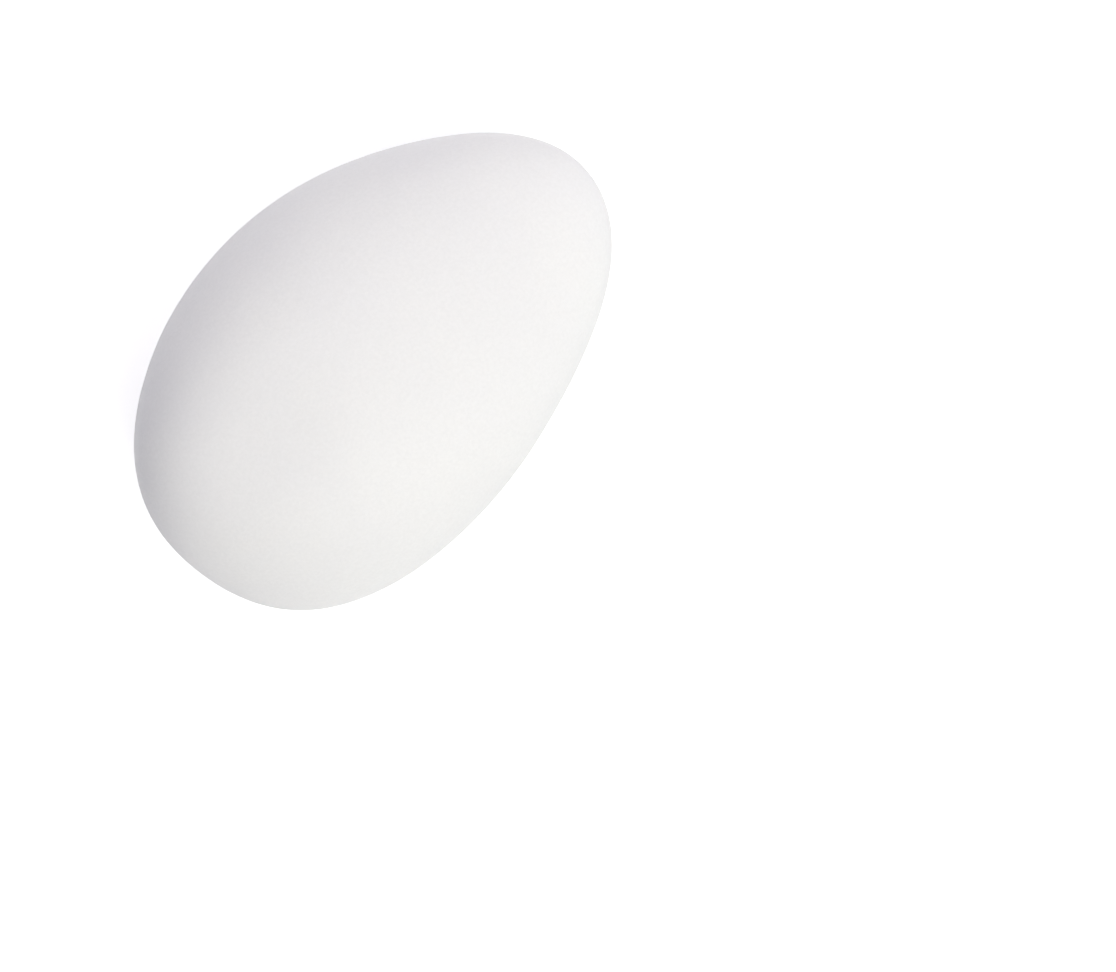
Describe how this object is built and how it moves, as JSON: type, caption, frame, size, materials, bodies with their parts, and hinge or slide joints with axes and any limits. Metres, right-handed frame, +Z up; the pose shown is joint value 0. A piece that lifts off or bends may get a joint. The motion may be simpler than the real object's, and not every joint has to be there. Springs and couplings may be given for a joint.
{
  "type": "sugared almond",
  "caption": "Egg-shaped almond sweet in a thick, hard, satin white sugar coat, lying on its broad side.",
  "frame": {"origin": "middle of the footprint, at the height of the surface the sweet lies on", "axes": "+X along the length towards the narrow end, +Z up out of the upper broad face, +Y to the left seen from above with the narrow end ahead"},
  "size_m": [0.03, 0.02, 0.0135],
  "materials": {
    "sugar_shell": "satin"
  },
  "bodies": {
    "root": {"sugared_almond": "sugar_shell"}
  },
  "joints": []
}
